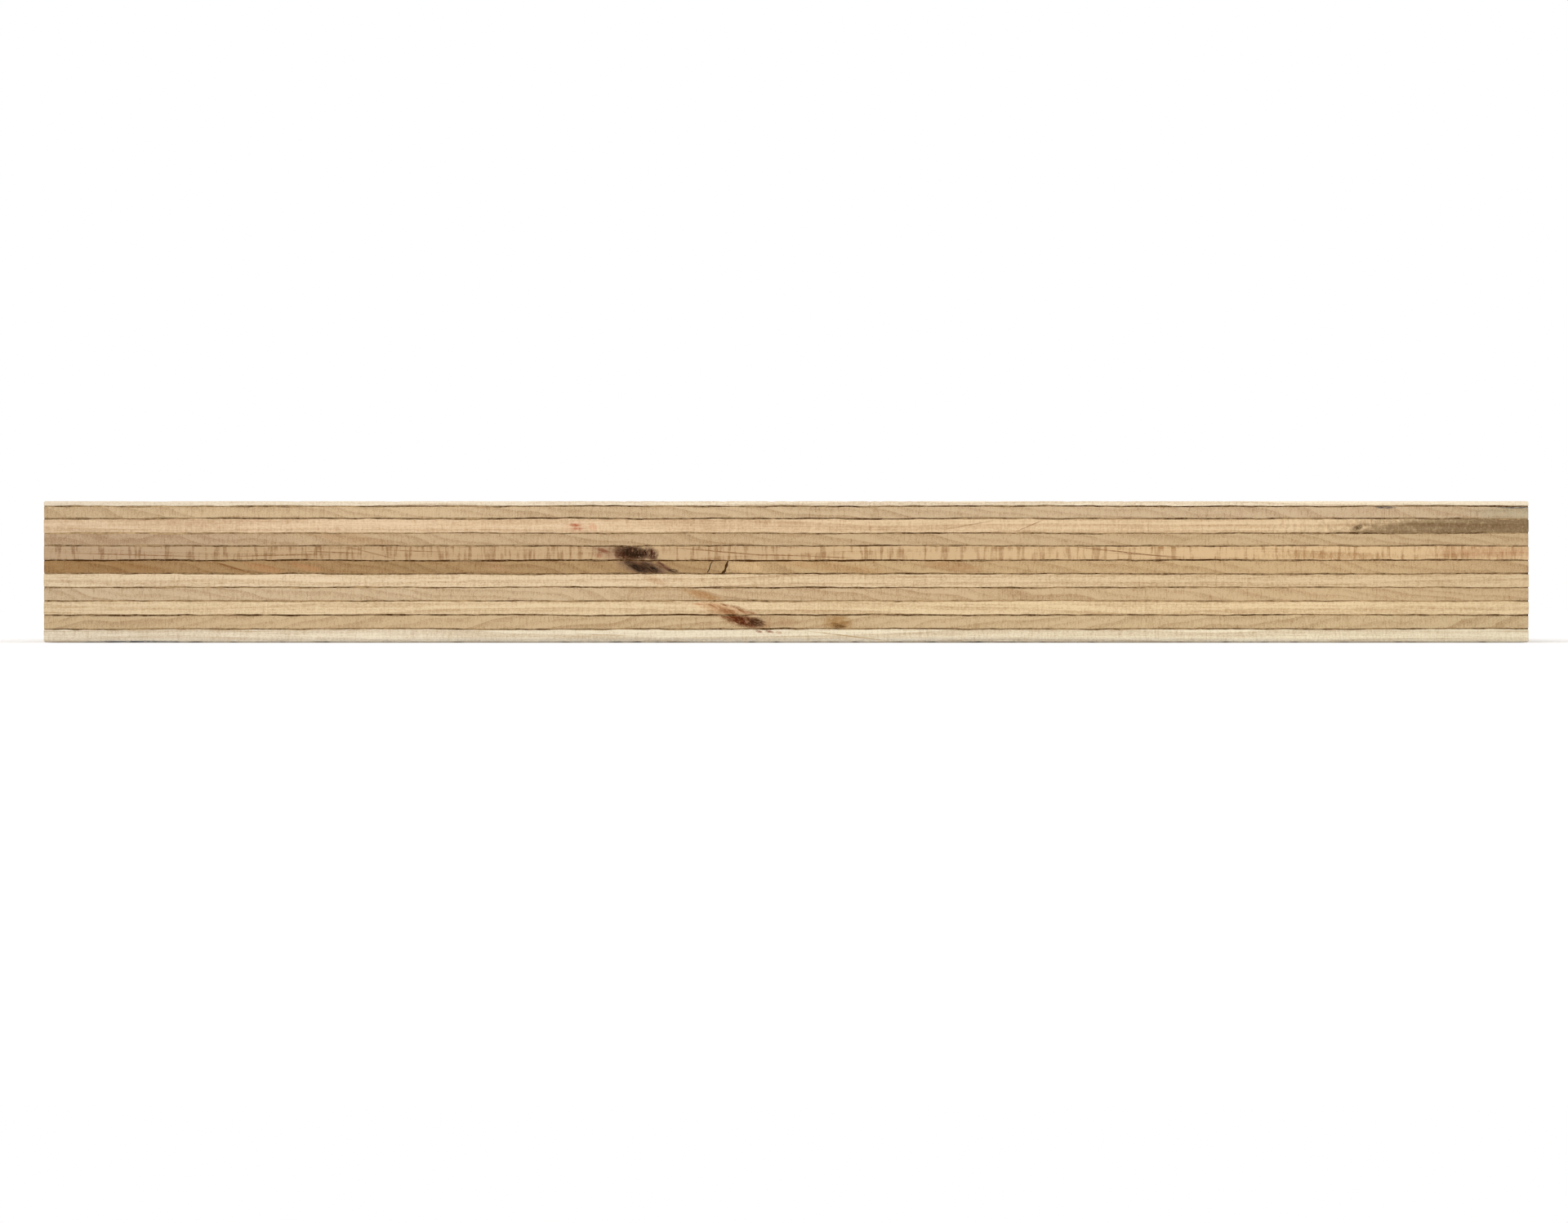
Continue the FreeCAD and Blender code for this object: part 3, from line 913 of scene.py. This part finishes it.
KNOTS = {
    "crossband_veneer_02": [
        (161.8, 36.5, 3.2, 0.5, 0, INK, 0.9, 0.7),
        (196.5, 36.5, 5.5, 0.5, 0, INK, 0.9, 0.7),
    ],
    "long_veneer_03": [
        (232, 31.4, 82, 7, -1, DEEP_BROWN, 0.60, 1.9, WATER_FLECK),
        (154.4, 31, 1.7, 0.9, -20, DEEP_BROWN, 0.9, 0.9, WATER_FLECK),
        (65.6, 31.4, 4.4, 0.16, -23, LATE_LINE, 0.9, 0.4),
        (49, 31.6, 7.5, 0.16, -10, LATE_LINE, 0.7, 0.4),
        (-57, 31.6, 1.7, 0.5, 4, RED_DASH, 1, 0.9),
        (-56.4, 30.7, 1.5, 0.45, 0, RED_DASH, 0.9, 0.9),
        (-52.2, 31.1, 1.4, 1.2, 0, (200, 144, 108), 0.7, 1.2, UPRIGHT_FLECK),
    ],
    "long_veneer_05": [
        (190, 24.3, 17, 1.9, 0, (160, 108, 74), 0.55, 1.9, UPRIGHT_FLECK),
        (146, 23.4, 18, 1.2, 0, (150, 108, 66), 0.6, 1.8, UPRIGHT_FLECK),
        (-176, 23.6, 20, 0.18, 1.5, LATE_LINE, 0.9, 0.4),
        (-137, 23.5, 14, 0.18, -1.5, LATE_LINE, 0.9, 0.4),
        (-122.5, 24.3, 8.5, 0.18, 2, LATE_LINE, 1, 0.4),
        (-111.6, 24, 7.8, 0.20, 14, LATE_LINE, 0.7, 0.5),
        (-100, 24.6, 9, 0.18, 2, LATE_LINE, 0.8, 0.4),
        (-17, 24.4, 15, 0.20, 5, LATE_LINE, 1, 0.4),
        (-2, 23.5, 11, 0.16, 2, LATE_LINE, 0.9, 0.4),
        (12, 23, 7, 0.16, 2, LATE_LINE, 0.9, 0.4),
        (91.5, 24.3, 16, 0.20, 6.2, LATE_LINE, 1, 0.4),
        (97, 23.6, 12, 0.16, 3, LATE_LINE, 0.8, 0.4),
        (-49.4, 24.7, 2.4, 0.7, 12, (122, 74, 50), 0.9, 1.1),
        (-50.6, 23.4, 1.2, 0.9, 0, (148, 96, 68), 0.7, 1, UPRIGHT_FLECK),
        (-41.8, 24.3, 6.2, 2.4, 8, MAROON, 1, 0.8),
        (-43.4, 23.4, 3.4, 1.5, 4, MAROON, 1, 0.6, DASH_FLECK),
        (-41.2, 24.1, 4.6, 1.9, 10, KNOT_BLACK, 1, 0.7, UPRIGHT_FLECK),
        (-36.4, 23.8, 2.8, 1.9, 40, (74, 44, 32), 1, 0.9, UPRIGHT_FLECK),
    ],
    "crossband_veneer_06_left": [
        (-38.8, 20.4, 5.8, 1.5, 22, (92, 62, 42), 0.85, 0.9),
        (-41.4, 20.7, 3.2, 1, 28, BLACK_BROWN, 0.95, 0.8),
        (-39.4, 19.8, 2.6, 1.2, 22, BLACK_BROWN, 1, 0.7),
        (-36.6, 20, 3.4, 1.2, 28, BLACK_BROWN, 1, 0.8),
        (-33.8, 20.9, 2, 0.8, 35, (88, 54, 40), 0.95, 0.9),
        (-32, 19.9, 1.4, 0.7, 25, (104, 66, 48), 0.9, 0.9),
        (-30.6, 19.3, 2, 0.65, 12, (58, 40, 26), 1, 0.7),
        (-150.2, 20.4, 6, 0.30, 17, (118, 76, 40), 0.9, 0.6),
    ],
    "crossband_veneer_08": [(-22.4, 12.7, 5, 1.1, 14, (156, 110, 66), 0.75, 1.5)],
    "long_veneer_09": [
        (-24, 10.3, 1.6, 0.3, 8, (176, 122, 82), 0.8, 0.9),
        (-20, 9.8, 1.3, 0.35, 24, RED_BROWN, 0.8, 0.9, DASH_FLECK),
        (-16.8, 10.1, 1.2, 0.3, 20, RED_BROWN, 0.8, 0.9, DASH_FLECK),
        (-12.2, 8.6, 1.4, 0.4, 22, RED_BROWN, 0.9, 0.9, DASH_FLECK),
        (-18, 8.9, 4.6, 1.3, 18, (158, 108, 64), 0.6, 1.7, DASH_FLECK),
        (-15.4, 8.2, 3.6, 0.9, 20, RED_BROWN, 0.8, 1.5, DASH_FLECK),
        (-13.4, 9.4, 2.8, 0.5, 14, RED_BROWN, 0.75, 1.3, DASH_FLECK),
        (-10, 7.9, 2.6, 0.5, 8, (138, 84, 54), 0.9, 1.2, DASH_FLECK),
    ],
    "crossband_veneer_10": [
        (-14.2, 6.4, 5.4, 1.3, 20, (108, 54, 20), 1, 1.3, DASH_FLECK),
        (-11.2, 5.7, 5.2, 1.9, 14, (76, 32, 10), 1, 1, DASH_FLECK),
        (-8, 5.4, 2.8, 1.3, 10, (56, 26, 8), 1, 0.9),
        (-10.6, 5.6, 0.7, 0.3, 10, (186, 138, 108), 0.6, 0.6),
        (14.4, 4.3, 2.2, 0.65, 4, (88, 56, 24), 0.9, 0.9),
        (12.9, 5.1, 1.1, 0.4, 0, (122, 84, 42), 0.6, 0.8),
        (15.2, 5.4, 0.8, 0.4, 0, (130, 92, 50), 0.5, 0.8),
    ],
    "face_veneer_bottom": [
        (14, 2, 10, 0.18, 7, PALE_LINE, 0.9, 0.4),
        (20, 1.3, 9, 0.18, 7, PALE_LINE, 0.8, 0.4),
        (-50, 2, 9, 0.18, 2, PALE_LINE, 0.8, 0.4),
        (-7.4, 2.9, 1.1, 0.4, 10, RUST, 0.9, 0.9),
        (-4.6, 2.9, 1.3, 0.4, 10, RUST, 0.9, 0.9),
        (-2, 2.6, 1, 0.35, 10, (150, 96, 66), 0.7, 0.9),
        (-176, 0.1, 14, 0.4, 0, (92, 96, 104), 0.9, 0.8),
    ],
}
print("stains:", sum(map(len, STAINS_AND_PAINTED_SHADE.values())), "knots:", sum(map(len, KNOTS.values())))

# %% [markdown]
# ## The eleven veneers' own finishes
# Tones run from a pale cream on the outer sheets to tan in the cross-bands. Each sheet has a left tone and
# a right one, and a seed that makes its grain its own.

# %% Finish every veneer
VENEERS = {
    "face_veneer_top": dict(left=(226, 209, 183), right=(237, 219, 190), seed=1),
    "crossband_veneer_02": dict(left=(202, 175, 138), right=(197, 170, 136), seed=2),
    "long_veneer_03": dict(left=(221, 192, 157), right=(219, 190, 150), seed=3),
    "crossband_veneer_04": dict(left=(193, 165, 130), right=(195, 167, 128), seed=4),
    "long_veneer_05": dict(left=(182, 152, 116), right=(212, 179, 136), seed=5, bars=0.75),
    "crossband_veneer_06_left": dict(left=(165, 131, 90), right=(190, 160, 118), seed=6, lean=12),
    "crossband_veneer_06_right": dict(left=(185, 155, 113), right=(197, 166, 124), seed=16),
    "long_veneer_07": dict(left=(222, 197, 162), right=(214, 187, 147), seed=7, fibres=0.66),
    "crossband_veneer_08": dict(left=(202, 176, 142), right=(200, 171, 131), seed=8),
    "long_veneer_09": dict(left=(221, 196, 158), right=(225, 198, 156), seed=9, fibres=0.60),
    "crossband_veneer_10": dict(left=(199, 172, 134), right=(203, 177, 137), seed=10, lean=-9),
    "face_veneer_bottom": dict(left=(230, 215, 189), right=(234, 220, 190), seed=11),
}
for node, recipe in VENEERS.items():
    grain = "across" if node.startswith("crossband") else "along"
    marks = {"stains_and_painted_shade": STAINS_AND_PAINTED_SHADE.get(node, ()), "knots": KNOTS.get(node, ())}
    pieces[node].data.materials.clear()
    pieces[node].data.materials.append(veneer_finish(node + "_finish", grain, **recipe, **marks))
print("veneer finishes:", len(VENEERS))

# %% [markdown]
# ## Glue
# Cured phenolic glue is dark red-brown. Where it lies thick it is nearly black, and where the wood has
# drunk it the line is thin and tan, so each film runs between the two along its length. Each has its own
# dryness at either end and is a little richer in the middle of the plank. Two noises do this in the
# shader: a slow one for long rich and dry runs, and a fine one for specks. The resin in the butt joint is
# rich all through.

# %% Finish the glue
THICK_GLUE = (68, 42, 16)
THIN_GLUE = (200, 170, 126)
RUN_CONTRAST = 1.5
SPECK_CONTRAST = 1.1
RICH_MIDDLE = 0.09  # how much less of a film is dry in the middle of the plank
MIDDLE_RUN = (30, 110)  # millimetres from the middle over which that ends
RUN_SIZE = (14.0, 14.0, 6.0)
SPECK_SIZE = (1.1, 1.1, 0.5)
GLUE_SEEDS = 40
GLUE_ROUGHNESS = 0.6
GLUE_SPECULAR = 0.03
GLUE_RELIEF_STRENGTH = 0.5
GLUE_RELIEF_HEIGHT = 0.08 * MM


def stirred(tree, share, noise, contrast):
    """A share raised and lowered around itself by a noise."""
    return sums(tree, "MULTIPLY_ADD", noise, contrast, sums(tree, "SUBTRACT", share, contrast / 2))


def glue_finish(name, seed, left, right):
    """The finish of one glue film. left and right are the shares of it that are dry and pale at the
    plank's two ends."""
    material, tree, shader, place = new_finish(name)
    x = add(tree, "SeparateXYZ", place)
    starved = sums(tree, "ADD", fade(tree, x, -TONE_RUN, TONE_RUN, left, right),
                   fade(tree, sums(tree, "ABSOLUTE", x), *MIDDLE_RUN, -RICH_MIDDLE, 0.0))
    run = lumps(tree, place, RUN_SIZE, seed, detail=4.0, roughness=0.7)
    specks = lumps(tree, place, SPECK_SIZE, seed + 1, detail=2.0, roughness=0.7)
    thin = stirred(tree, starved, run, RUN_CONTRAST)
    share = clamped(tree, stirred(tree, thin, specks, SPECK_CONTRAST))
    colour = mix(tree, share, linear(*THICK_GLUE), linear(*THIN_GLUE))
    tree.links.new(colour, shader.inputs["Base Color"])
    shader.inputs["Roughness"].default_value = GLUE_ROUGHNESS
    shader.inputs["Specular IOR Level"].default_value = GLUE_SPECULAR
    bump = add(tree, "Bump", GLUE_RELIEF_STRENGTH, GLUE_RELIEF_HEIGHT, None, specks)
    tree.links.new(bump, shader.inputs["Normal"])
    return material


# the dry share of each film at the plank's left and right ends
STARVED = {
    "glue_line_01": (0.46, 0.20),
    "glue_line_02": (0.30, 0.33),
    "glue_line_03": (0.52, 0.31),
    "glue_line_04": (0.33, 0.32),
    "glue_line_05": (0.02, 0.19),
    "glue_line_06": (0.33, 0.31),
    "glue_line_07": (0.38, 0.38),
    "glue_line_08": (0.47, 0.54),
    "glue_line_09": (0.13, 0.32),
    "glue_line_10": (0.34, 0.33),
    "butt_joint_resin": (-0.6, -0.6),
}
for number, node in enumerate([*glue_nodes, "butt_joint_resin"]):
    pieces[node].data.materials.clear()
    finish = glue_finish(node + "_finish", GLUE_SEEDS + number, *STARVED[node])
    pieces[node].data.materials.append(finish)
print("glue finishes:", len(glue_nodes) + 1)

# %% [markdown]
# ## A flat map for each sheet
# A model that leaves Blender can't carry solid patterns, so its finishes are painted onto pictures, and
# each piece needs a flat map to paint through. An automatic unwrap would give nearly all of the picture
# to the broad faces, which are glued and never seen, and leave a blur for the sawn edges. So the map is
# laid one face at a time: each sawn edge is cut into short stretches that fill one row of the picture
# each, and the broad faces share what is left. A face veneer has fewer rows, because its outer side shows
# and needs the room.

# %% Lay the maps
MAP_NAME = "OFBake"
# rows for each side of a sheet within the stack, and of a face veneer
MAP_ROWS = {"front": 5, "back": 5, "right": 3, "left": 3, "inner": 1}
FACE_MAP_ROWS = {"front": 3, "back": 3, "right": 2, "left": 2, "inner": 1}
ROW_HEIGHT = 0.042  # shares of the picture's height
FACE_ROW_HEIGHT = 0.026
ROW_GAP = 0.004
HIDDEN_SHARE = 0.08  # what a face veneer's glued side gets
OVERRUN = 1.0 * MM  # a stretch is mapped this far past its ends, for the faces that cross them
END_DEPTH = 1.5 * MM  # a face that looks along the plank further in than this isn't part of an end
LEVEL_SHARE = 0.7  # a face whose normal rises more than this belongs to a broad side


def side_of(normal, centre):
    """Which side of the plank a face looks to. inner is the walls of slots and of the butt joint."""
    if abs(normal.z) > LEVEL_SHARE:
        return "top" if normal.z > 0 else "bottom"
    if abs(normal.y) >= abs(normal.x):
        return "back" if normal.y > 0 else "front"
    if abs(centre.x) < plank_size.x / 2 - END_DEPTH:
        return "inner"
    return "right" if normal.x > 0 else "left"


def broad_places(shown_side, floor_level):
    """The corners on the map of the top and bottom sides, above the rows of edges."""
    low, high = floor_level + ROW_GAP, 1 - ROW_GAP
    middle = low + (high - low) * HIDDEN_SHARE
    if shown_side > 0:
        return {"top": (ROW_GAP, middle + ROW_GAP, high, high), "bottom": (ROW_GAP, low, high, middle)}
    if shown_side < 0:
        return {"bottom": (ROW_GAP, middle + ROW_GAP, high, high), "top": (ROW_GAP, low, high, middle)}
    return {"top": (ROW_GAP, low, 0.5 - ROW_GAP, high), "bottom": (0.5 + ROW_GAP, low, high, high)}


def lay_map(board, shown_side=0):
    """Give a sheet its flat map."""
    rows = FACE_MAP_ROWS if shown_side else MAP_ROWS
    height = FACE_ROW_HEIGHT if shown_side else ROW_HEIGHT
    first_row, count = {}, 0
    for side, number in rows.items():
        first_row[side] = count
        count += number
    broad = broad_places(shown_side, count * (height + ROW_GAP))
    mesh = board.data
    heights = [vertex.co.z for vertex in mesh.vertices]
    low, thick = min(heights), max(heights) - min(heights)
    layer = mesh.uv_layers.new(name=MAP_NAME)
    for face in mesh.polygons:
        side = side_of(face.normal, face.center)
        along = 1 if side in ("right", "left", "inner") else 0
        turn = -1 if side in ("bottom", "back", "left") else 1
        length = plank_size[along]
        if side in broad:
            u_low, v_low, u_high, v_high = broad[side]
        else:
            stretch = length / rows[side]
            row = min(max(int((turn * face.center[along] + length / 2) / stretch), 0), rows[side] - 1)
            v_low = (first_row[side] + row) * (height + ROW_GAP) + ROW_GAP
        for corner in face.loop_indices:
            place = mesh.vertices[mesh.loops[corner].vertex_index].co
            reached = turn * place[along] + length / 2
            if side in broad:
                u = u_low + (u_high - u_low) * (reached + OVERRUN) / (length + 2 * OVERRUN)
                up = (place.y + plank_size.y / 2 + OVERRUN) / (plank_size.y + 2 * OVERRUN)
                v = v_low + (v_high - v_low) * up
            else:
                u = (reached - row * stretch + OVERRUN) / (stretch + 2 * OVERRUN)
                v = v_low + height * (place.z - low) / thick
            layer.uv[corner].vector = (u, v)


for node, piece in pieces.items():
    if node != "butt_joint_resin":
        lay_map(piece, {"face_veneer_top": 1, "face_veneer_bottom": -1}.get(node, 0))
print("maps laid:", sum(MAP_NAME in piece.data.uv_layers for piece in pieces.values()))

# %% [markdown]
# ## Every piece in its place
# Each sheet now stands for the piece of the imported model that has its name and rides on the plank's one
# body. Nothing moves here, because every sheet is glued to the next.


def finish_piece(piece, node):
    """Let a finished piece stand for its CAD node and ride with the plank."""
    piece.name = piece.data.name = node + "_wood" if "veneer" in node else node + "_resin"
    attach(piece, "root")
    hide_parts(node)


for node, piece in pieces.items():
    finish_piece(piece, node)
print("every piece rides on the root body")
